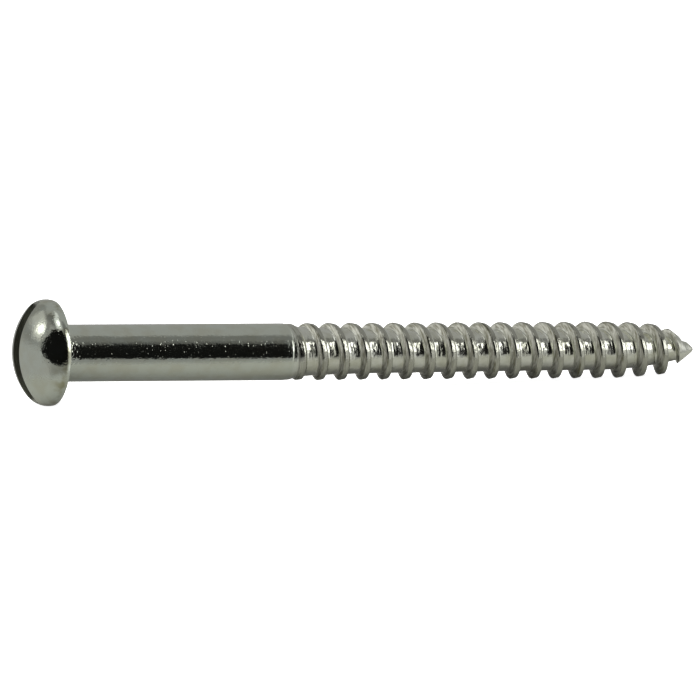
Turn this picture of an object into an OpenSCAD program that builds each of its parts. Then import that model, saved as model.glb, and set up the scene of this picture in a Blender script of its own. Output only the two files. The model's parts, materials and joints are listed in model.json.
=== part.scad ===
// Slotted round head wood screw: a cold-headed steel blank with a sawn slot and a
// coarse right-hand thread, cut down to a sharp gimlet point. One piece.
// It lies as it comes to rest on a flat surface: on the rim of its head and on one
// thread crest near the point, so its axis dips towards the point.
// The origin is the centre of the head's bearing face. The screw runs along +X
// towards its point, and +Z is up.

/* [Head] */
// Diameter of the head at its widest
head_d = 7.64; // [6.8:0.02:9]
// Height of the dome above the bearing face
head_h = 2.72; // [2.4:0.02:3.4]
// Height above the bearing face at which the head is widest
head_band = 0.4; // [0.1:0.05:0.6]
// Radius of the dome's shoulder, next to the rim
shoulder_r = 1.4; // [1:0.05:1.6]
// Radius of the fillet where the bearing face meets the shank
neck_r = 0.2; // [0.1:0.05:0.4]

/* [Drive slot] */
// Width of the slot
slot_w = 1.2; // [0.9:0.05:1.6]
// Depth of the slot below the top of the dome
slot_depth = 1.6; // [1:0.05:1.9]
// Offset of the slot from the head's middle, because it isn't sawn quite true
slot_off = 0.22; // [-0.4:0.02:0.4]
// Turn of the slot away from upright, as the screw lies
slot_turn = -3; // [-90:1:90]

/* [Shank] */
// Diameter of the plain shank
shank_d = 4.11; // [3.8:0.01:4.6]
// Length of the plain shank, from the bearing face to the thread
shank_l = 17.8; // [8:0.1:24]
// Length of the screw, from the bearing face to the tip
screw_l = 50.4; // [44:0.05:64]

/* [Thread] */
// Pitch of the thread
thread_pitch = 1.693; // [1.4:0.001:2]
// Diameter over the thread's crests
crest_d = 4.14; // [3.8:0.02:4.6]
// Diameter of the core at the end of the run-out
core_d = 3.18; // [2.8:0.02:3.5]
// Diameter of the core where the point begins
core_point_d = 2.92; // [2.4:0.02:3]
// Width of the crest's flat top
crest_w = 0.3; // [0.1:0.02:0.4]
// Width of the groove's flat bottom
groove_w = 0.7; // [0.4:0.02:0.9]
// Length of smooth land between the plain shank and the first groove
land_l = 0.4; // [0.3:0.1:1.2]
// Length of the run-out, over which the groove comes to its full depth
runout_l = 9; // [3:0.5:12]
// Distance from the plain shank to the first crest on the underside
first_crest = 1.22; // [0:0.02:1.7]

/* [Point] */
// Length over which the core and the crests narrow to the point
point_l = 7.5; // [4:0.5:10]
// Diameter that the narrowing core would have at the tip
core_tip_d = 1.1; // [0.6:0.1:1.6]
// Diameter that the narrowing crests would have at the tip
crest_tip_d = 2.96; // [2:0.08:3.6]
// Half angle of the cone at the tip
tip_angle = 33; // [24:1:40]
// Radius that blunts the tip
tip_r = 0.14; // [0.06:0.02:0.2]

/* [Hidden] */

// Facets round the turned surfaces, and steps round one turn of the thread
round_steps = 96;
thread_steps = 32;
// Height of the small step where the plain shank ends
shank_step = 0.02;
// Share of the groove's depth that is cut within its first half turn
entry_share = 0.45;
// Length of the thread's blank that is sunk into the shank
sunk_l = 0.3;
// Length of the facets that close the tip
tip_l = 0.12;

shank_r = shank_d / 2;
land_r = shank_r - shank_step;
steel = [0.66, 0.68, 0.66];

// The dome is a crown arc, centred on the axis, that runs into the shoulder arc.
shoulder_x = head_d / 2 - shoulder_r;
dome_h = head_h - head_band;
crown_r = (pow(shoulder_x, 2) + pow(dome_h, 2) - pow(shoulder_r, 2))
    / (2 * (dome_h - shoulder_r));

// Phases of one pitch of the profile: 0 is the middle of the crest, and the groove's
// middle is half a pitch away on each side.
crest_edge = crest_w / 2 / thread_pitch;
groove_edge = 0.5 - groove_w / 2 / thread_pitch;
phases = [-0.5, -groove_edge, -crest_edge, 0, crest_edge, groove_edge];
columns = len(phases);

// Everything along the thread is a function of u, the distance from the bearing face.
thread_from = shank_l - sunk_l;
groove_from = shank_l + land_l;
tip_from = screw_l - tip_l;

function clamp01(x) = min(1, max(0, x));

// How a radius narrows along the point, from its full value to its value at the tip
function narrowed(full_r, end_r, u) =
    end_r + (full_r - end_r) * (1 - pow(1 - clamp01((screw_l - u) / point_l), 2));

// The nose is a cone whose tip is rounded.
function nose_r(u) =
    let (s = max(0, screw_l - u))
    sqrt(2 * tip_r * s + pow(s * tan(tip_angle), 2));

// Share of the groove's full depth: a quick entry, then an even run-out
function depth_share(u) =
    entry_share * clamp01((u - groove_from) / (thread_pitch / 2))
    + (1 - entry_share) * (1 - pow(1 - clamp01((u - groove_from) / runout_l), 2));

function core_full_r(u) =
    let (along = clamp01((u - groove_from - runout_l)
        / (screw_l - point_l - groove_from - runout_l)))
    core_d / 2 + (core_point_d - core_d) / 2 * along;

function crest_r(u) =
    narrowed(land_r + (crest_d / 2 - land_r)
        * clamp01((u - shank_l - land_l) / thread_pitch), crest_tip_d / 2, u);

function core_r(u) =
    narrowed(land_r + (core_full_r(u) - land_r) * depth_share(u), core_tip_d / 2, u);

// Height of the profile between core and crest, by phase
function flank(phase) =
    clamp01((groove_edge - abs(phase)) / (groove_edge - crest_edge));

function thread_r(u, phase) =
    min(nose_r(u), core_r(u) + (crest_r(u) - core_r(u)) * flank(phase));

// The thread is a grid that winds round the axis. Row i is one step of the turn, and
// the grid's columns cross one pitch. The last column of a row is the first column of
// the row one turn later. Points before the thread's blank or beyond the tip's ring
// fall onto those two rings.
first_u = shank_l + first_crest
    - thread_pitch * (ceil((sunk_l + first_crest) / thread_pitch) + 1);
rows = thread_steps * ceil((screw_l - first_u) / thread_pitch + 1.5);
merge_l = 0.3 * thread_pitch / thread_steps;

function grid_u(i, j) = first_u + thread_pitch * (i / thread_steps + phases[j]);
function around(r, i, u) =
    [r * cos(360 * i / thread_steps), r * sin(360 * i / thread_steps), u];

grid_points = [
    for (i = [0 : rows], j = [0 : columns - 1])
        let (u = min(screw_l, grid_u(i, j))) around(thread_r(u, phases[j]), i, u)
];
start_ring = [for (k = [0 : thread_steps - 1]) around(land_r, k, thread_from)];
tip_ring = [for (k = [0 : thread_steps - 1]) around(nose_r(tip_from), k, tip_from)];
start_at = len(grid_points);
tip_at = start_at + thread_steps;
apex_at = tip_at + thread_steps;

// Number of the point at a place of the grid
function grid_at(i, j) =
    j == columns ? grid_at(i + thread_steps, 0)
    : grid_u(i, j) < thread_from + merge_l ? start_at + i % thread_steps
    : grid_u(i, j) > tip_from - merge_l ? tip_at + i % thread_steps
    : i * columns + j;

grid_faces = [
    for (i = [0 : rows - thread_steps - 1], j = [0 : columns - 1])
        let (
            a = grid_at(i, j),
            b = grid_at(i + 1, j),
            c = grid_at(i + 1, j + 1),
            d = grid_at(i, j + 1)
        )
        for (face = [[a, d, c], [a, c, b]])
            if (face[0] != face[1] && face[1] != face[2] && face[2] != face[0]) face
];
start_face = [for (k = [0 : thread_steps - 1]) start_at + k];
tip_faces = [
    for (k = [0 : thread_steps - 1])
        [apex_at, tip_at + (k + 1) % thread_steps, tip_at + k]
];

// The screw rests on its rim and on the crest that asks for the least dip. Each crest
// on the underside gives the dip at which it and the rim touch one plane.
underside = [for (u = [shank_l + first_crest : thread_pitch : screw_l]) u];
dips = [
    for (u = underside)
        let (
            a = u + head_band,
            b = thread_r(u, 0) - shoulder_x
        )
        asin(shoulder_r / norm([a, b])) - atan2(b, a)
];
rest_dip = min(dips);

// Domed head with its flat bearing face, as a profile beside the axis
module head_profile() {
    crown_at = [0, crown_r - head_h];
    shoulder_at = [shoulder_x, -head_band];
    reach = 3 * crown_r;
    towards_shoulder = (shoulder_at - crown_at) / norm(shoulder_at - crown_at);
    intersection() {
        translate([0, -2 * head_h]) square([head_d, 2 * head_h]);
        union() {
            intersection() {
                translate(crown_at) circle(r = crown_r, $fn = round_steps);
                polygon([
                    crown_at,
                    crown_at + [0, -reach],
                    crown_at + reach * towards_shoulder
                ]);
            }
            translate(shoulder_at) circle(r = shoulder_r, $fn = round_steps);
        }
    }
}

// Plain shank with the fillet under the head, as a profile beside the axis
module shank_profile() {
    translate([0, -head_band]) square([shank_r, shank_l + head_band]);
    difference() {
        translate([0, -head_band])
            square([shank_r + neck_r, neck_r + head_band]);
        translate([shank_r + neck_r, neck_r])
            circle(r = neck_r, $fn = round_steps);
    }
}

// Saw cut across the dome, open at both sides
module drive_slot() {
    rotate([0, 0, slot_turn])
        translate([-head_d, slot_off - slot_w / 2, -2 * head_h])
            cube([2 * head_d, slot_w, head_h + slot_depth]);
}

// Threaded length with its run-out and its gimlet point
module thread() {
    polyhedron(
        points = concat(grid_points, start_ring, tip_ring, [[0, 0, screw_l]]),
        faces = concat(grid_faces, [start_face], tip_faces)
    );
}

// The whole screw, turned from its own axis to where it lies
module wood_screw() {
    color(steel)
        rotate([0, 90 + rest_dip, 0])
            union() {
                difference() {
                    rotate_extrude($fn = round_steps)
                        union() {
                            head_profile();
                            shank_profile();
                        }
                    drive_slot();
                }
                thread();
            }
}

wood_screw();
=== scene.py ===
"""A slotted round head wood screw, lying on a pale table under soft studio light.

The lengths in this file are millimetres. They become metres where a mesh, a camera or a
light takes them.
"""
import json

import bmesh
import bpy
import numpy as np
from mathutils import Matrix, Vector


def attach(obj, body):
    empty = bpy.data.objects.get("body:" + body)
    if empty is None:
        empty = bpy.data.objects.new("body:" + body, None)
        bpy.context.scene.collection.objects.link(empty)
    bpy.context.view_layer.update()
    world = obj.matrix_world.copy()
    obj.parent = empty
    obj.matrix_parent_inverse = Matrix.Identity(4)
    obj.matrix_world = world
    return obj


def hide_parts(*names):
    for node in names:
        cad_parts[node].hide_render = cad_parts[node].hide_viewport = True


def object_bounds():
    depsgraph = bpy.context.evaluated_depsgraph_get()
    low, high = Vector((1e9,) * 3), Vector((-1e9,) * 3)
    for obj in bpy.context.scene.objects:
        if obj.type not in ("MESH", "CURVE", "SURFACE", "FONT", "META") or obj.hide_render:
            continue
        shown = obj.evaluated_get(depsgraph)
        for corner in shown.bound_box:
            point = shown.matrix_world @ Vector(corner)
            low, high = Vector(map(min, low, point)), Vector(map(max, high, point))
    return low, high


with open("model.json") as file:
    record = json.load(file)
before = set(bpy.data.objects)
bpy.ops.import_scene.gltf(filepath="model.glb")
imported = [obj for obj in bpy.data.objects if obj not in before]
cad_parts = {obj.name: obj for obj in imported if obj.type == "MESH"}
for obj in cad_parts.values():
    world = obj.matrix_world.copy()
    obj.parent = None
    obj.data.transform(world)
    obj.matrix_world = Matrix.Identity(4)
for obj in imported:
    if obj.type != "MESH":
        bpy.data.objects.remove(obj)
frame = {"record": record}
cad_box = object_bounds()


# Screw
# One piece of steel wire, cold-headed, with a sawn slot and a cut right-hand thread that
# ends in a gimlet point, all under a bright zinc plate. Nothing is fitted to it: it is
# one closed skin, which stands for the CAD solid.

MM = 0.001              # a millimetre in metres

HEAD_D = 7.64           # diameter of the head at its widest
HEAD_H = 2.72           # height of the dome above the bearing face
HEAD_BAND = 0.4         # height at which the head is widest
SHOULDER_R = 1.4        # radius of the dome's shoulder
RIM_R = 0.08            # rounding between the shoulder and the bearing face
RIM_ANGLE = 0.06        # the rounding starts this many radians before the face
NECK_R = 0.2            # fillet between the bearing face and the shank
HEAD_RISE = 0.07        # the head sits this much higher than the shank's axis
SLOT_W = 1.3
SLOT_DEPTH = 1.6
SLOT_OFF = 0.24         # the slot isn't sawn quite through the middle
SLOT_TURN = -3          # nor quite upright, in degrees
SLOT_EDGE = 0.03        # rounding of the slot's edges, left by plating

SHANK_R = 2.055
SHANK_L = 17.8
SCREW_L = 50.4
LAND_R = 2.03           # the land before the thread is a little lower than the shank
LAND_L = 0.4            # length of the land, from the shank's end to the groove
STEP_L = 0.14           # length of the step from the shank down to the land
STEP_SHARES = (0.06, 0.35, 0.7, 0.94, 1)    # how far down each row of the step is

PITCH = 1.693
CREST_R = 2.07
CORE_R = 1.59           # core at the end of the run-out
CORE_POINT_R = 1.46     # core where the point begins
# The thread's profile, as distances from the middle of a crest. The crest's top falls
# towards the point from its break on, and so does the groove's bottom.
BACK_FOOT = -0.42
BACK_EDGE = -0.19
CREST_BREAK = -0.1
FRONT_EDGE = 0.25
FRONT_FOOT = 0.38
BACK_ROUND = (0.08, 0.06)   # reach of the rounding at the foot and at the edge
FRONT_ROUND = (0.03, 0.03)
BREAK_ROUND = 0.03
CREST_FALL = 0.2        # slope of the crest's top
GROOVE_FALL = 0.025     # slope of the groove's bottom
BOWL = 0.008            # and it is hollow by this much
RUNOUT_L = 9            # length over which the groove comes to its full depth
ENTRY_SHARE = 0.45      # share of that depth which is cut within the first half turn
FIRST_CREST = 1.22      # from the shank's end to the first crest on the underside

POINT_L = 7.5           # length over which the core and the crests narrow to the point
CORE_TIP_R = 0.45
CREST_TIP_R = 1.48
TIP_ANGLE = 33          # half angle of the tip's cone
TIP_R = 0.14            # rounding of the tip
TIP_CUT = (0.05, 0.75, 0.3)   # the last cut's depth, distance from the tip and reach
CAP_L = 0.12            # length of the tip beyond the thread's last ring

AROUND = 160            # steps round the axis
THREAD_FROM = SHANK_L + STEP_L
GROOVE_FROM = SHANK_L + LAND_L

# The dome's crown is an arc centred on the axis, and it runs into the shoulder's arc.
SHOULDER_X = HEAD_D / 2 - SHOULDER_R
DOME_H = HEAD_H - HEAD_BAND
CROWN_R = (SHOULDER_X**2 + DOME_H**2 - SHOULDER_R**2) / (2 * (DOME_H - SHOULDER_R))
CROWN_U = CROWN_R - HEAD_H
JOIN_ANGLE = np.arctan2(SHOULDER_X, CROWN_U + HEAD_BAND)


def eased(x):
    """3 x^2 - 2 x^3, with x held between 0 and 1."""
    x = np.clip(x, 0, 1)
    return x * x * (3 - 2 * x)


def head_outline(angle):
    """Radius and distance along the axis of the head's outline, where its surface leans
    by angle from the dome's top: a point of the crown's arc up to the join, and of the
    shoulder's arc beyond it."""
    crown = angle < JOIN_ANGLE
    radius = np.where(crown, CROWN_R * np.sin(angle), SHOULDER_X + SHOULDER_R * np.sin(angle))
    crown_u, shoulder_u = CROWN_U - CROWN_R * np.cos(angle), -HEAD_BAND - SHOULDER_R * np.cos(angle)
    return radius, np.where(crown, crown_u, shoulder_u)


def head_angle(radius):
    """The outline's angle at a radius: the arc sine of its share of the crown's radius,
    or beyond the join of its share of the shoulder's."""
    join_radius = CROWN_R * np.sin(JOIN_ANGLE)
    crown = np.arcsin(np.clip(radius / CROWN_R, 0, 1))
    shoulder = np.arcsin(np.clip((radius - SHOULDER_X) / SHOULDER_R, 0, 1))
    return np.where(radius < join_radius, crown, shoulder)


def turned(radius, around, u):
    """Points at a radius, an angle round the axis and a distance along it: the radius by
    the angle's cosine, the radius by its sine, and the distance."""
    radius, around, u = np.broadcast_arrays(radius, around, u)
    return np.stack([radius * np.cos(around), radius * np.sin(around), u], -1)


def quads(points, first):
    """Four-cornered faces between neighbouring points of a grid, whose points are numbered
    row by row from first."""
    rows, columns = points.shape[:2]
    number = first + np.arange(rows * columns).reshape(rows, columns)
    corners = number[:-1, :-1], number[1:, :-1], number[1:, 1:], number[:-1, 1:]
    return np.stack(corners, -1).reshape(-1, 4)


# The slot's floor lies in the plane of a ring round the shoulder. Above that ring, each
# column of the grid climbs one side of the dome, drops into the slot, crosses its floor
# and goes down the other side. The grid is laid out square to the slot.
floor_u = SLOT_DEPTH - HEAD_H
ring_angle = np.arccos((-HEAD_BAND - floor_u) / SHOULDER_R)
ring_r = head_outline(ring_angle)[0]

dome_rows = 30
lip_rows = 5
wall_shares = (0.33, 0.67)      # how far down the wall its rows are
floor_rows = 9
columns = AROUND // 2 - (2 * (lip_rows - 1) + floor_rows - 2)
share_along = np.linspace(1, -1, columns)


def slot_row(y, u):
    """A row of points along the slot, at y across it and u along the axis. Its ends lie
    on the ring, so x is the column's share of the root of ring_r^2 - y^2."""
    x = share_along * np.sqrt(ring_r**2 - y**2)
    return np.stack([x, np.full(columns, y), np.broadcast_to(u, columns)], -1)


def dome_side(side):
    """One side of the dome from the ring to the slot's floor, on the side of y that side
    gives. On the dome, x and y go straight from the ring to the lip, by the sine of the
    climb, and the head's outline gives u. The lip is a quadratic curve from the dome over
    the sharp corner to the wall. Also returned are the turns of the columns' feet and the
    lip's places across the slot."""
    wall_y = SLOT_OFF + side * SLOT_W / 2
    lip_y = wall_y + side * SLOT_EDGE
    foot = np.arcsin(lip_y / ring_r)
    feet = np.linspace(foot, side * np.pi - foot, columns)
    climb = np.sin(np.linspace(0, np.pi / 2, dome_rows))[:, None, None]
    ring = np.stack([ring_r * np.cos(feet), ring_r * np.sin(feet)], -1)
    lip_line = slot_row(lip_y, 0)[:, :2]
    flat = ring + (lip_line - ring) * climb
    dome_u = head_outline(head_angle(np.hypot(flat[..., 0], flat[..., 1])))[1]
    dome = np.concatenate([flat, dome_u[..., None]], -1)

    corner_r = np.hypot(share_along * np.sqrt(ring_r**2 - wall_y**2), wall_y)
    corner_u = head_outline(head_angle(corner_r))[1]
    lip_end_u = np.minimum(corner_u + SLOT_EDGE, floor_u)
    t = np.linspace(0, 1, lip_rows)[1:, None]
    u = (1 - t) ** 2 * dome_u[-1] + 2 * t * (1 - t) * corner_u + t**2 * lip_end_u
    y = (1 - t[:, 0]) ** 2 * lip_y + (1 - (1 - t[:, 0]) ** 2) * wall_y
    lip = [slot_row(*row) for row in zip(y, u)]
    wall = [slot_row(wall_y, lip_end_u + (floor_u - lip_end_u) * share) for share in wall_shares]
    return np.concatenate([dome, lip, wall]), feet, y[:-1]


far_side, far_feet, far_lip = dome_side(1)
near_side, near_feet, near_lip = dome_side(-1)
floor_y = SLOT_OFF + np.linspace(SLOT_W / 2, -SLOT_W / 2, floor_rows)
floor = [slot_row(y, floor_u) for y in floor_y]
top = np.concatenate([far_side, floor, near_side[::-1]])
slot_turn = np.radians(SLOT_TURN)
top[..., :2] = top[..., :2] @ [
    [np.cos(slot_turn), np.sin(slot_turn)], [-np.sin(slot_turn), np.cos(slot_turn)],
]

# Round the ring, the grid's edge gives the places of the points of what is below it: the
# far side, the slot's upper end, the near side, and the slot's lower end.
end_turns = np.arcsin(np.concatenate([far_lip, floor_y, near_lip[::-1]]) / ring_r)
ring_turns = slot_turn + np.concatenate([
    far_feet, np.pi - end_turns, 2 * np.pi + near_feet[::-1], 2 * np.pi + end_turns[::-1],
])
middle = (columns - 1) / 2
even_turns = np.pi / 2 + (np.arange(AROUND) - middle) * 2 * np.pi / AROUND

# Below the ring the screw is a turned shape as far as the thread: shoulder, rim, bearing
# face, fillet, shank and step.
side_rows, rim_rows, face_rows, neck_rows, shank_rows = 20, 6, 5, 7, 21
side_end = np.arccos(-HEAD_BAND / SHOULDER_R) - RIM_ANGLE
side_angle = np.linspace(ring_angle, side_end, side_rows)
side_r, side_u = head_outline(side_angle)
rim_turn = np.linspace(side_end, np.pi, rim_rows + 1)[1:]
rim_r = side_r[-1] + RIM_R * (np.sin(rim_turn) - np.sin(side_end))
rim_u = side_u[-1] - RIM_R * (np.cos(rim_turn) - np.cos(side_end))
rim_u -= rim_u[-1]
neck_turn = np.linspace(0, np.pi / 2, neck_rows)
neck_r = SHANK_R + NECK_R - NECK_R * np.sin(neck_turn)
neck_u = NECK_R - NECK_R * np.cos(neck_turn)
face_r = np.linspace(rim_r[-1], neck_r[0], face_rows + 2)[1:-1]
face_u = np.zeros(face_rows)
shank_u = np.linspace(NECK_R, SHANK_L, shank_rows + 1)[1:]
shank_r = np.full(shank_rows, SHANK_R)
step_u = np.linspace(SHANK_L, THREAD_FROM, len(STEP_SHARES) + 1)[1:]
step_r = SHANK_R + (LAND_R - SHANK_R) * np.array(STEP_SHARES)
outline_r = np.concatenate([side_r, rim_r, face_r, neck_r, shank_r, step_r])
outline_u = np.concatenate([side_u, rim_u, face_u, neck_u, shank_u, step_u])
# The columns shift from the ring's places to even places, and from the head's axis to the
# shank's, on the way to the fillet.
settled = eased(np.arange(len(outline_r)) / (side_rows + rim_rows + face_rows))
side_turns = ring_turns + (even_turns - ring_turns) * settled[:, None]
side_turns = np.column_stack([side_turns, side_turns[:, 0] + 2 * np.pi])
side = turned(outline_r[:, None], side_turns, outline_u[:, None])
side[..., 0] -= HEAD_RISE * (1 - settled[:, None])
top[..., 0] -= HEAD_RISE


def narrowed(full, end, u):
    """How a radius narrows along the point: from full, by the square of the share of the
    point's length that is left behind, to end at the tip."""
    left = np.clip((SCREW_L - u) / POINT_L, 0, 1)
    return end + (full - end) * (1 - (1 - left) ** 2)


def nose(u):
    """Radius of the cone that the tip is cut to, with its end rounded: the root of
    2 TIP_R s + (s tan TIP_ANGLE)^2, where s is the distance from the tip."""
    s = np.maximum(SCREW_L - u, 0)
    return np.sqrt(2 * TIP_R * s + (s * np.tan(np.radians(TIP_ANGLE))) ** 2)


def depth_share(u):
    """Share of the groove's full depth: a straight entry over half a pitch, and then the
    rest as one less the square of what is left of the run-out."""
    entry = np.clip((u - GROOVE_FROM) / (PITCH / 2), 0, 1)
    run = np.clip((u - GROOVE_FROM) / RUNOUT_L, 0, 1)
    return ENTRY_SHARE * entry + (1 - ENTRY_SHARE) * (1 - (1 - run) ** 2)


def rounded_ramp(x, reach):
    """0 below 0 and x above it, with the corner rounded by (x + reach)^2 / (4 reach)."""
    return np.where(np.abs(x) < reach, (x + reach) ** 2 / (4 * reach), np.maximum(x, 0))


def crest_share(x):
    """Height of the profile between groove and crest, at a distance x from the crest's
    middle: a straight slope on each side, between two rounded corners."""
    back = rounded_ramp(x - BACK_FOOT, BACK_ROUND[0]) - rounded_ramp(x - BACK_EDGE, BACK_ROUND[1])
    front = (
        rounded_ramp(FRONT_FOOT - x, FRONT_ROUND[0]) - rounded_ramp(FRONT_EDGE - x, FRONT_ROUND[1])
    )
    return np.where(x < 0, back / (BACK_EDGE - BACK_FOOT), front / (FRONT_FOOT - FRONT_EDGE))


def groove_rise(x):
    """Height of the groove's bottom above its middle: its fall by the distance, and its
    hollow by the square of the distance as a share of half the width."""
    middle, half = (PITCH + BACK_FOOT + FRONT_FOOT) / 2, (PITCH + BACK_FOOT - FRONT_FOOT) / 2
    share = np.clip((np.mod(x, PITCH) - middle) / half, -1, 1)
    return -GROOVE_FALL * half * share + BOWL * (share**2 - 0.5)


def thread_radius(u, x):
    """Radius of the thread's surface: the core with its hollow and its last cut, a bell
    curve, and the profile's share of the way from there to the crest with its fall, held
    inside the nose."""
    point_from = SCREW_L - POINT_L
    along = np.clip((u - GROOVE_FROM - RUNOUT_L) / (point_from - GROOVE_FROM - RUNOUT_L), 0, 1)
    full_core = CORE_R + (CORE_POINT_R - CORE_R) * along
    grown = np.clip((u - GROOVE_FROM) / PITCH, 0, 1)
    depth = depth_share(u) * np.clip((SCREW_L - u) / POINT_L, 0, 1)
    crest = narrowed(LAND_R + (CREST_R - LAND_R) * grown, CREST_TIP_R, u)
    crest -= CREST_FALL * rounded_ramp(x - CREST_BREAK, BREAK_ROUND) * depth
    core = narrowed(LAND_R + (full_core - LAND_R) * depth_share(u), CORE_TIP_R, u)
    core += groove_rise(x) * depth
    cut_depth, cut_from_tip, cut_reach = TIP_CUT
    core -= cut_depth * np.exp(-(((SCREW_L - u - cut_from_tip) / cut_reach) ** 2))
    return np.minimum(nose(u), core + (crest - core) * crest_share(x))


# The thread is a grid that winds round the axis: a row is one step of the turn, and the
# columns cross one pitch. Points before the thread's start or past the tip's ring fall
# onto those two rings.
tip_from = SCREW_L - CAP_L
bounds_across = [
    -PITCH / 2, BACK_FOOT - BACK_ROUND[0], BACK_EDGE + BACK_ROUND[1],
    FRONT_EDGE - FRONT_ROUND[1], FRONT_FOOT + FRONT_ROUND[0], PITCH / 2,
]
steps_across = (3, 9, 4, 7, 3)  # groove, back flank, crest, front flank, groove
across = np.concatenate([
    np.linspace(start, end, count, endpoint=False)
    for start, end, count in zip(bounds_across, bounds_across[1:], steps_across)
])
across = np.append(across, PITCH / 2)
# The grid starts three pitches before the first crest and ends 1.6 pitches past the tip.
first_u = SHANK_L + FIRST_CREST - 3 * PITCH
steps = np.arange(int(AROUND * ((SCREW_L - first_u) / PITCH + 1.6)))
step_turn = even_turns[0] + steps * 2 * np.pi / AROUND
thread_u = first_u + PITCH * step_turn[:, None] / (2 * np.pi) + across
snap = 0.3 * PITCH / AROUND     # points this close to a ring move onto it
thread_u = np.where(thread_u < THREAD_FROM + snap, THREAD_FROM, thread_u)
thread_u = np.where(thread_u > tip_from - snap, tip_from, thread_u)
radius = np.where(thread_u == THREAD_FROM, LAND_R, thread_radius(thread_u, across))
thread = turned(radius, step_turn[:, None], thread_u)

tip_rows = 6
tip_t = np.linspace(0, 1, tip_rows)[:, None]
tip_u = SCREW_L - (SCREW_L - tip_from) * (1 - tip_t) ** 2
tip_turns = np.append(even_turns, even_turns[0] + 2 * np.pi)
tip = turned(nose(tip_u), tip_turns, tip_u)

grids = [top, side, thread, tip]
starts = np.cumsum([0] + [grid.shape[0] * grid.shape[1] for grid in grids])
points = np.concatenate([grid.reshape(-1, 3) for grid in grids])
faces = np.concatenate([quads(grid, start) for grid, start in zip(grids, starts)])

# What the finish needs to know of each point: how much it is in the slot, how far it is
# threaded, how much of the cut it has as flank, crest and stained back edge, whose stain
# is also painted shade, and its place in the winding, as a circle for the distance
# across it and the count of turns.
# An olive stain along the crests' back edges, which also paints shade there as a dark line.
BACK_EDGE_STAIN_AND_SHADE = (0.03, 0.06)       # distance in front of the back edge, and reach
in_slot = [np.zeros(grid.shape[:2]) for grid in grids]
in_slot[0][dome_rows + lip_rows - 2 : -(dome_rows + lip_rows - 2)] = 1
threaded = [np.zeros(grid.shape[:2]) for grid in grids]
threaded[2] = np.clip((thread_u - GROOVE_FROM) / PITCH + 0.5, 0, 1)
threaded[3][:] = 1
back_slope = np.maximum(np.gradient(crest_share(across), across), 0)
# The stain's share is a bell curve just in front of the back edge; it is also painted shade.
back_edge_stain_and_shade = np.exp(-(((across - BACK_EDGE - BACK_EDGE_STAIN_AND_SHADE[0]) / BACK_EDGE_STAIN_AND_SHADE[1]) ** 2))
on_cone = radius > nose(thread_u) - 1e-6
cut = [np.zeros(grid.shape) for grid in grids]
cut[2] = np.stack([back_slope / back_slope.max(), crest_share(across), back_edge_stain_and_shade], -1)
cut[2] = cut[2] * threaded[2][..., None] * (1 - on_cone[..., None])
winding = [np.zeros(grid.shape) for grid in grids]
cross_turn = 2 * np.pi * np.broadcast_to(across / PITCH, thread_u.shape)
winding[2] = np.stack([np.cos(cross_turn), np.sin(cross_turn), thread_u / PITCH], -1)
winding[3][:] = (-1, 0, SCREW_L / PITCH)

# From the screw's own axes to where it lies: u runs along the shank's axis, and the
# angle round it is counted from the underside.
mounts = {mount["name"]: mount for mount in frame["record"]["mounts"]}
axis = Vector(mounts["shank"]["axis"]).normalized()
down = Vector((0, 1, 0)).cross(axis)
placed = points @ np.array([down, (0, 1, 0), axis]) * MM

screw_mesh = bpy.data.meshes.new("wood_screw_skin")
screw_mesh.from_pydata(placed, [], faces.tolist())
for name, kind, values in (
    ("in_slot", "FLOAT", in_slot), ("threaded", "FLOAT", threaded),
    ("cut", "FLOAT_VECTOR", cut), ("winding", "FLOAT_VECTOR", winding),
):
    stored = screw_mesh.attributes.new(name, kind, "POINT")
    flat = np.concatenate([value.reshape(-1) for value in values])
    stored.data.foreach_set("value" if kind == "FLOAT" else "vector", flat)
# The grids share their edges, so the points there are joined.
shape = bmesh.new()
shape.from_mesh(screw_mesh)
bmesh.ops.remove_doubles(shape, verts=shape.verts, dist=0.0002 * MM)
bmesh.ops.recalc_face_normals(shape, faces=shape.faces)
shape.to_mesh(screw_mesh)
shape.free()
screw_mesh.shade_smooth()
screw = bpy.data.objects.new("wood_screw_skin", screw_mesh)
bpy.context.scene.collection.objects.link(screw)


def linear(hex_colour):
    """Linear red, green, blue and alpha of an sRGB hex colour: a share of 255 over 12.92 in
    the darkest shades, and otherwise the 2.4th power of that share plus 0.055 over 1.055."""
    share = np.array([int(hex_colour[k : k + 2], 16) for k in (1, 3, 5)]) / 255
    value = np.where(share <= 0.04045, share / 12.92, ((share + 0.055) / 1.055) ** 2.4)
    return (*value, 1)


def emptied(owner):
    """The node tree of a material or of the world, switched on and emptied."""
    owner.use_nodes = True
    owner.node_tree.nodes.clear()
    return owner.node_tree


def add(tree, kind, inputs=None, **settings):
    """Adds a node with its settings. Each input, called by its name or its number, is given
    a value, or linked if it is given another node's output."""
    node = tree.nodes.new(kind)
    for name, value in settings.items():
        setattr(node, name, value)
    for name, value in (inputs or {}).items():
        if isinstance(value, bpy.types.NodeSocket):
            tree.links.new(value, node.inputs[name])
        else:
            node.inputs[name].default_value = value
    return node


# Bright zinc plate on cold-headed steel wire. It is nearly a mirror, so it shows the tent
# around it, with the plate's fine grain, the wire's drawing lines along the shank and
# small pits. The thread was cut after heading: its tool marks wind round with it and
# break the mirror into streaks, and its back flanks are torn, matt and greyer.
zinc = bpy.data.materials.new("bright_zinc_plate_on_steel")
tree = emptied(zinc)

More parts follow.
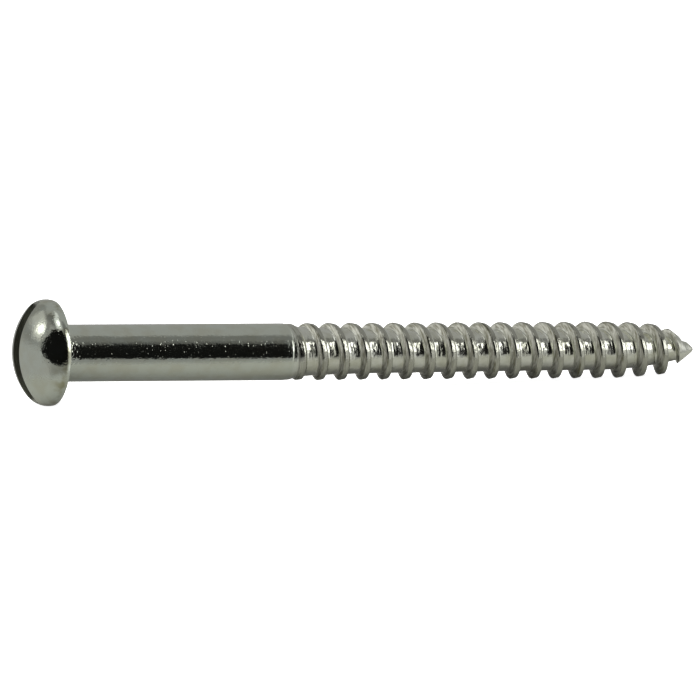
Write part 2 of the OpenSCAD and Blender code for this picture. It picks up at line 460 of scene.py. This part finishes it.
# Places in millimetres with X along the screw, and places in the winding, where the pitch
# is a circle of radius 1 and a whole turn, about 11.5 mm, is a length of 1
place = add(tree, "ShaderNodeMapping", {
    "Vector": add(tree, "ShaderNodeTexCoord").outputs["Object"],
    "Rotation": (0, -np.arctan2(-axis.z, axis.x), 0), "Scale": (1 / MM,) * 3,
}).outputs[0]
place_u = add(tree, "ShaderNodeSeparateXYZ", {0: place}).outputs[0]
winding_place = add(tree, "ShaderNodeAttribute", attribute_name="winding").outputs["Vector"]
along_wire, along_cut, along_tears = (
    add(tree, "ShaderNodeMapping", {"Vector": where, "Scale": scale}).outputs[0]
    for where, scale in (
        (place, (0.4, 6, 6)), (winding_place, (1.7, 1.7, 7)), (winding_place, (3, 3, 24)),
    )
)

# Shares of the surface. The flank's foot is rough but still bright, and the flank itself
# is matt. The flank is torn by the cutter, and the crest a little.
slot_share = add(tree, "ShaderNodeAttribute", attribute_name="in_slot").outputs["Fac"]
thread_share = add(tree, "ShaderNodeAttribute", attribute_name="threaded").outputs["Fac"]
flank_share, crest_top_share, stained_shaded_back_edge_share = add(tree, "ShaderNodeSeparateXYZ", {
    0: add(tree, "ShaderNodeAttribute", attribute_name="cut").outputs["Vector"],
}).outputs
rough_share = add(tree, "ShaderNodeMapRange", {
    "Value": flank_share, "From Max": 0.35,
}).outputs[0]
matt_share = add(tree, "ShaderNodeMapRange", {
    "Value": flank_share, "From Min": 0.4, "From Max": 1.0,
}).outputs[0]
torn_share = add(tree, "ShaderNodeMath", {
    0: crest_top_share, 1: 0.3, 2: matt_share,
}, operation="MULTIPLY_ADD", use_clamp=True).outputs[0]
# The first 1.8 mm of the shank, less and less
under_head = add(tree, "ShaderNodeMapRange", {
    "Value": place_u, "From Min": 0.4, "From Max": 1.8, "To Min": 1.0, "To Max": 0.0,
}).outputs[0]
on_shank = add(tree, "ShaderNodeMath", {0: place_u, 1: 0.0}, operation="GREATER_THAN").outputs[0]
# The last millimetre of the dome before its rim
near_rim = add(tree, "ShaderNodeMapRange", {
    "Value": place_u, "From Min": -1.3, "From Max": -0.4,
}).outputs[0]
off_rim = add(tree, "ShaderNodeMapRange", {
    "Value": place_u, "From Min": -0.3, "From Max": 0.0, "To Min": 1.0, "To Max": 0.0,
}).outputs[0]

# Noise patterns, each with the size of its marks
waves, grain, lines, marks, dents, tears, die_marks, streaks, edge_stain_and_shade, blotches = (
    add(tree, "ShaderNodeTexNoise", {
        "Vector": where, "Scale": scale, "Detail": detail,
    }).outputs[0]
    for where, scale, detail in (
        (place, 0.7, 1.0),          # waves of the plate, 1.5 mm long
        (place, 4.0, 2.0),          # its grain, 0.25 mm
        (along_wire, 1.0, 1.0),     # drawing lines of the wire, 0.17 mm apart and 2.5 mm long
        (along_cut, 1.0, 1.0),      # the cutter's marks, 0.16 mm apart and 1.6 mm long
        (place, 2.2, 1.0),          # dents from the plating barrel, 0.45 mm wide
        (place, 7.0, 1.0),          # tears left by the cutter, 0.15 mm wide
        (place, 4.5, 1.0),          # marks of the die that held the wire, 0.2 mm wide
        (along_tears, 1.0, 2.0),    # dark streaks, 0.09 mm apart and 0.5 mm long
        # The next pattern is the olive stain on the crests' back edges, which also paints shade
        # there as a dark line.
        (place, 0.6, 4.0),          # stains, 1.7 mm long
        (place, 0.9, 3.0),          # yellowish blotches, 1.1 mm wide
    )
)
# Pits about 0.1 mm wide and of all depths, in cells of 0.2 mm. One cell in ten has none.
pit_cells = add(tree, "ShaderNodeTexVoronoi", {"Vector": place, "Scale": 5.0}, feature="F1")
pit_dip = add(tree, "ShaderNodeMapRange", {
    "Value": pit_cells.outputs["Distance"], "From Min": 0.05, "From Max": 0.3,
    "To Min": 1.0, "To Max": 0.0,
}, interpolation_type="SMOOTHSTEP").outputs[0]
pit_depth = add(tree, "ShaderNodeMapRange", {
    "Value": add(tree, "ShaderNodeSeparateXYZ", {0: pit_cells.outputs["Color"]}).outputs[0],
    "From Min": 0.1, "From Max": 1.0,
}).outputs[0]
streaks, edge_stain_and_shade, blotches = (
    add(tree, "ShaderNodeMapRange", {
        "Value": pattern, "From Min": least, "From Max": most, "To Max": strength,
    }).outputs[0]
    for pattern, least, most, strength in (
        (streaks, 0.4, 0.62, 1.0), (edge_stain_and_shade, 0.5, 0.65, 1.0), (blotches, 0.42, 0.62, 0.8),
    )
)

# Each pattern by its share. The blotches are fainter off the thread, and on the head the
# same pattern makes the olive stain inside the rim.
blotched_share = add(tree, "ShaderNodeMath", {
    0: thread_share, 1: 0.3, 2: 0.7,
}, operation="MULTIPLY_ADD").outputs[0]
under_head, rim_stain = (
    add(tree, "ShaderNodeMath", {0: share, 1: limit}, operation="MULTIPLY").outputs[0]
    for share, limit in ((under_head, on_shank), (near_rim, off_rim))
)
pits, marks, dents, tears, die_marks, streaks, edge_stain_and_shade, rim_stain, blotches = (
    add(tree, "ShaderNodeMath", {0: pattern, 1: share}, operation="MULTIPLY").outputs[0]
    for pattern, share in (
        (pit_dip, pit_depth), (marks, thread_share), (dents, thread_share),
        (tears, torn_share), (die_marks, under_head), (streaks, torn_share),
        (edge_stain_and_shade, stained_shaded_back_edge_share), (rim_stain, blotches), (blotches, blotched_share),
    )
)

# Height of the surface in millimetres
surface_height = 0.0
for pattern, depth in (
    (waves, 0.02), (grain, 0.01), (lines, 0.003), (pits, -0.0055),
    (marks, 0.014), (dents, 0.035), (tears, 0.032), (die_marks, 0.04),
):
    surface_height = add(tree, "ShaderNodeMath", {
        0: pattern, 1: depth, 2: surface_height,
    }, operation="MULTIPLY_ADD").outputs[0]
bump = add(tree, "ShaderNodeBump", {"Height": surface_height, "Distance": MM}).outputs[0]

# The plate is a little warmer on the thread, duller and greyer on its crests and flanks,
# olive where it is stained, and thinner in the slot. The olive stain along the crests'
# back edges is also painted shade: it darkens them to a dark line.
colour = linear("#D4DACD")
for share, hex_colour in (
    (thread_share, "#E2E4D8"), (blotches, "#CBCCB9"), (rim_stain, "#9A9876"),
    (crest_top_share, "#BBBCAF"), (matt_share, "#B8B8AD"), (streaks, "#7A796A"),
    # The olive stain of the back edges is also painted shade, a dark line along them.
    (edge_stain_and_shade, "#5A583C"), (slot_share, "#ABADA2"),
):
    colour = add(tree, "ShaderNodeMix", {
        "Factor": share, 6: colour, 7: linear(hex_colour),
    }, data_type="RGBA").outputs[2]
roughness = 0.08
for share, rougher in (
    (thread_share, 0.05), (rough_share, 0.15), (matt_share, 0.12), (slot_share, 0.3),
):
    roughness = add(tree, "ShaderNodeMath", {
        0: share, 1: rougher, 2: roughness,
    }, operation="MULTIPLY_ADD").outputs[0]
metallic = add(tree, "ShaderNodeMath", {
    0: matt_share, 1: -0.6, 2: 1.0,
}, operation="MULTIPLY_ADD").outputs[0]
surface = add(tree, "ShaderNodeBsdfPrincipled", {
    "Base Color": colour, "Metallic": metallic, "Roughness": roughness, "Normal": bump,
})
add(tree, "ShaderNodeOutputMaterial", {"Surface": surface.outputs["BSDF"]})
screw_mesh.materials.append(zinc)
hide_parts("wood_screw")
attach(screw, "root")


# Table
# A plain white table top, lit from below like a light table, so that only a faint shadow
# shows on it. The plate doesn't mirror it. What the plate mirrors under the screw is a
# strip of grey card, which the camera doesn't see. The card stands in for the shade on
# the table: its glow is painted light, and its contact shadow and its change of grey along
# the screw are painted shade.

TABLE_REACH = 3000
CARD_FROM = (-20, -14)
CARD_TO = (70, 14)
CARD_LIFT = 0.01        # the card lies this much above the table top
CARD_CHANGE = (14, 24)  # from the grey under the shank to the grey under the thread
# The card's painted glow, and the share of it that the card loses under the thread:
CARD_PAINTED_GLOW = 0.165
CARD_DIMMED = 0.5       # share of its glow that the card loses under the thread
# The card's painted contact shadow, and where it ends:
PAINTED_CONTACT_SHADOW = (0.6, 1.3)    # distances from the screw's line where the contact shadow is full and gone
CONTACT_END = (44, 46)  # the shadow ends there, because the point is clear of the card
CARD_FADE = (4, 8)      # distances from the screw's line where the card starts to fade and is gone

table_z = min(cad_box[0].z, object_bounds()[0].z)


def sheet(name, corner, opposite, z):
    """A level rectangle between two opposite corners in millimetres, at a height z
    in metres."""
    (x0, y0), (x1, y1) = corner, opposite
    mesh = bpy.data.meshes.new(name)
    corners = [(x * MM, y * MM, z) for x, y in ((x0, y0), (x1, y0), (x1, y1), (x0, y1))]
    mesh.from_pydata(corners, [], [(0, 1, 2, 3)])
    piece = bpy.data.objects.new(name, mesh)
    bpy.context.scene.collection.objects.link(piece)
    return piece


# White acrylic, which spreads the light from below to an even matt white
table_top = sheet("table_top", (-TABLE_REACH, -TABLE_REACH), (TABLE_REACH, TABLE_REACH), table_z)
table_top.visible_glossy = False
table_top.visible_diffuse = False
acrylic = bpy.data.materials.new("lit_white_acrylic")
tree = emptied(acrylic)
surface = add(tree, "ShaderNodeBsdfPrincipled", {
    "Base Color": linear("#C8C8C6"), "Roughness": 0.9, "Specular IOR Level": 0.0,
    "Emission Color": (1, 1, 1, 1), "Emission Strength": 0.95,
})
add(tree, "ShaderNodeOutputMaterial", {"Surface": surface.outputs[0]})
table_top.data.materials.append(acrylic)

# Grey card, matt, with a painted glow. Under the thread it is painted a lighter grey and
# glows less, and near the screw's line it is painted dark as a contact shadow.
card = sheet("painted_shade_card", CARD_FROM, CARD_TO, table_z + CARD_LIFT * MM)
card.visible_camera = False
card.visible_diffuse = False
card.visible_shadow = False
painted_shade_card = bpy.data.materials.new("painted_shade_card")
tree = emptied(painted_shade_card)
spot = add(tree, "ShaderNodeTexCoord").outputs["Object"]
spot_x = add(tree, "ShaderNodeSeparateXYZ", {0: spot}).outputs[0]
# The screw's line runs along x from 0 to the screw's length, at y 0. The nearest place on
# it has the spot's x, held to that length.
on_line = spot
for operation, limit in (
    ("MINIMUM", (SCREW_L * MM, 0, 1)), ("MAXIMUM", (0, -1, -1)), ("MULTIPLY", (1, 0, 1)),
):
    on_line = add(tree, "ShaderNodeVectorMath", {
        0: on_line, 1: limit,
    }, operation=operation).outputs[0]
away = add(tree, "ShaderNodeVectorMath", {
    0: spot, 1: on_line,
}, operation="DISTANCE").outputs["Value"]
lit, past_contact, under_thread = (
    add(tree, "ShaderNodeMapRange", {
        "Value": distance, "From Min": start * MM, "From Max": end * MM,
    }).outputs[0]
    for distance, (start, end) in (
        (away, PAINTED_CONTACT_SHADOW), (spot_x, CONTACT_END), (spot_x, CARD_CHANGE),
    )
)
lit = add(tree, "ShaderNodeMath", {0: lit, 1: past_contact}, operation="MAXIMUM").outputs[0]
# Under the thread, the card's grey with its painted contact shadow near the screw's line
thread_side = add(tree, "ShaderNodeMix", {
    "Factor": lit, 6: linear("#6A6A65"), 7: linear("#8C8C87"),
}, data_type="RGBA").outputs[2]
card_colour = add(tree, "ShaderNodeMix", {
    "Factor": under_thread, 6: linear("#777772"), 7: thread_side,
}, data_type="RGBA").outputs[2]
# The card's painted glow, less under the thread
card_painted_glow = add(tree, "ShaderNodeMath", {
    0: under_thread, 1: -CARD_DIMMED * CARD_PAINTED_GLOW, 2: CARD_PAINTED_GLOW,
}, operation="MULTIPLY_ADD").outputs[0]
surface = add(tree, "ShaderNodeBsdfPrincipled", {
    "Base Color": card_colour, "Roughness": 0.9, "Specular IOR Level": 0.0,
    "Emission Color": (1, 1, 1, 1), "Emission Strength": card_painted_glow,
})
faded = add(tree, "ShaderNodeMapRange", {
    "Value": away, "From Min": CARD_FADE[0] * MM, "From Max": CARD_FADE[1] * MM,
}, interpolation_type="SMOOTHSTEP").outputs[0]
surface = add(tree, "ShaderNodeMixShader", {
    0: faded, 1: surface.outputs[0], 2: add(tree, "ShaderNodeBsdfTransparent").outputs[0],
})
add(tree, "ShaderNodeOutputMaterial", {"Surface": surface.outputs[0]})
card.data.materials.append(painted_shade_card)


# Camera
# The photograph was taken with a long lens, a little above the screw and well round
# towards its head, so that the dome and one side of the shank both show.

CAMERA_TURN = 23.1      # degrees from square on to the screw, round towards the head
CAMERA_RISE = 6.6       # degrees above the horizon
CAMERA_DISTANCE = 800
LENS = 570              # focal length on a film 36 mm wide
AIM_ALONG = 23.13       # the middle of the picture, as a distance along the screw
AIM_ABOVE = 0.096       # and above its axis

turn, rise = np.radians((CAMERA_TURN, CAMERA_RISE))
to_camera = Vector((-np.sin(turn) * np.cos(rise), -np.cos(turn) * np.cos(rise), np.sin(rise)))
looking = to_camera.to_track_quat("Z", "Y")
aim = axis * AIM_ALONG + looking @ Vector((0, AIM_ABOVE, 0))

camera = bpy.data.objects.new("camera", bpy.data.cameras.new("camera"))
bpy.context.scene.collection.objects.link(camera)
camera.data.lens = LENS
camera.data.sensor_width = 36
camera.data.clip_start = 0.01
camera.location = (aim + to_camera * CAMERA_DISTANCE) * MM
camera.rotation_euler = looking.to_euler()
bpy.context.scene.camera = camera


# Light
# A light tent. The plate is a mirror, so its look is a picture of the tent: pale walls,
# bright panels above, at both sides and beyond the point, and the dark gap at the front
# that the camera looks through. One broad light from above brightens the table.

OVERHEAD_TO_FRONT = 15  # the light overhead leans to the front, in degrees
OVERHEAD_TO_HEAD = 30   # and to the head's side
WALL = 0.38             # brightness of the walls
WALL_ON_MATT = 0.04     # and what matt surfaces take of it

overhead = bpy.data.lights.new("overhead", "SUN")
overhead.energy = 5.5
overhead.angle = np.radians(75)
overhead_light = bpy.data.objects.new("overhead", overhead)
bpy.context.scene.collection.objects.link(overhead_light)
overhead_light.visible_glossy = False
overhead_light.rotation_euler = np.radians((OVERHEAD_TO_FRONT, -OVERHEAD_TO_HEAD, 0))

# The panels are drawn on the surround. Each has its brightness, the width of its soft edge
# and its corners. A corner is a bearing to the right of the camera and a height above the
# horizon, in degrees, and the corners go round anticlockwise. A later panel covers an
# earlier one.
PANELS = {
    "floor": (0.43, 5, [(-190, -91), (190, -91), (190, -18), (-190, -12)]),
    "floor at the front": (0.3, 14, [(-50, -45), (60, -45), (60, -10), (-50, -10)]),
    "left wall": (0.42, 8, [(-150, -45), (-66, -45), (-66, 8), (-150, 8)]),
    "left wall's top": (0.28, 6, [(-150, 8), (-60, 8), (-60, 54), (-150, 54)]),
    "roof over the camera": (0.19, 6, [(-100, 50), (-10, 56), (-10, 91), (-100, 91)]),
    "roof at the right": (0.2, 7, [(48, 36), (95, 36), (85, 66), (52, 62)]),
    "shade over the gap": (0.12, 4, [(44, 30), (60, 30), (60, 45), (44, 45)]),
    "roof lamp's tail": (0.8, 5, [
        (0, 76), (95, 76), (110, 70), (190, 70), (190, 91), (0, 91),
    ]),
    "front lamp's glow": (0.75, 7, [(-34, 68), (-10, 58), (52, 58), (72, 91), (-60, 91)]),
    "front lamp": (1.9, 3, [(6, 61.5), (42, 61.5), (56, 78), (0, 78)]),
    "light over the left lamp": (0.55, 6, [(-128, 24), (-100, 24), (-96, 46), (-118, 48)]),
    "left lamp's glow": (0.85, 7, [
        (-103, 26), (-96, 19), (-78, 17), (-72, 28), (-84, 42), (-100, 40),
    ]),
    "light beyond the point": (0.9, 9, [(100, -4), (126, -4), (126, 26), (100, 26)]),
    "left lamp": (2.4, 3, [
        (-97, 28), (-90, 24), (-79, 25), (-75, 29), (-80, 35), (-87, 37), (-96, 33),
    ]),
    "gap for the camera": (0.007, 2, [
        (-70, 3), (-57, -7), (-36, -14), (10, -22), (53, -17), (55, 30), (50, 38), (38, 54),
        (-17, 54), (-47, 43), (-66, 20),
    ]),
    "right panel": (0.5, 3, [(56, -36), (80, -36), (80, 42), (62, 42), (57, 12)]),
    "right panel's foot": (0.8, 5, [(62, -28), (80, -28), (80, 10), (60, 10)]),
    "right panel's middle": (3.2, 4, [(59, 6), (78, 6), (78, 39), (64, 39)]),
}

world = bpy.data.worlds.new("light_tent")
bpy.context.scene.world = world
tree = emptied(world)
facing = add(tree, "ShaderNodeMapping", {
    "Vector": add(tree, "ShaderNodeTexCoord").outputs["Generated"],
    "Rotation": (0, 0, np.pi / 2 + turn),
}, vector_type="POINT").outputs["Vector"]
parts = add(tree, "ShaderNodeSeparateXYZ", {0: facing}).outputs
bearing = add(tree, "ShaderNodeMath", {0: parts["Y"], 1: parts["X"]}, operation="ARCTAN2")
elevation = add(tree, "ShaderNodeMath", {0: parts["Z"]}, operation="ARCSINE")
seen_at = add(tree, "ShaderNodeCombineXYZ", {
    0: bearing.outputs[0], 1: elevation.outputs[0],
}).outputs[0]

brightness = WALL
for panel_brightness, soft_edge, corners in PANELS.values():
    # How far outside the panel a direction lies is the most that it is outside an edge.
    outside = None
    for start, end in zip(corners, corners[1:] + corners[:1]):
        along_edge = (Vector(end) - Vector(start)).normalized()
        outward = Vector((along_edge.y, -along_edge.x, 0))
        reach = add(tree, "ShaderNodeVectorMath", {
            0: seen_at, 1: outward,
        }, operation="DOT_PRODUCT").outputs["Value"]
        beyond = add(tree, "ShaderNodeMath", {
            0: reach, 1: np.radians(outward.xy @ Vector(start)),
        }, operation="SUBTRACT").outputs[0]
        if outside is not None:
            beyond = add(tree, "ShaderNodeMath", {
                0: outside, 1: beyond,
            }, operation="MAXIMUM").outputs[0]
        outside = beyond
    inside = add(tree, "ShaderNodeMapRange", {
        "Value": outside, "From Min": -np.radians(soft_edge), "From Max": np.radians(soft_edge),
        "To Min": 1.0, "To Max": 0.0,
    }, interpolation_type="SMOOTHSTEP").outputs[0]
    brightness = add(tree, "ShaderNodeMix", {
        "Factor": inside, 2: brightness, 3: panel_brightness,
    }, data_type="FLOAT").outputs[0]
# Matt surfaces are lit by the light overhead, and hardly by the walls.
on_matt = add(tree, "ShaderNodeLightPath").outputs["Is Diffuse Ray"]
brightness = add(tree, "ShaderNodeMix", {
    "Factor": on_matt, 2: brightness, 3: WALL_ON_MATT,
}, data_type="FLOAT").outputs[0]
background = add(tree, "ShaderNodeBackground", {"Color": (1, 1, 1, 1), "Strength": brightness})
add(tree, "ShaderNodeOutputWorld", {"Surface": background.outputs[0]})

# White stays white in the picture.
bpy.context.scene.view_settings.view_transform = "Standard"
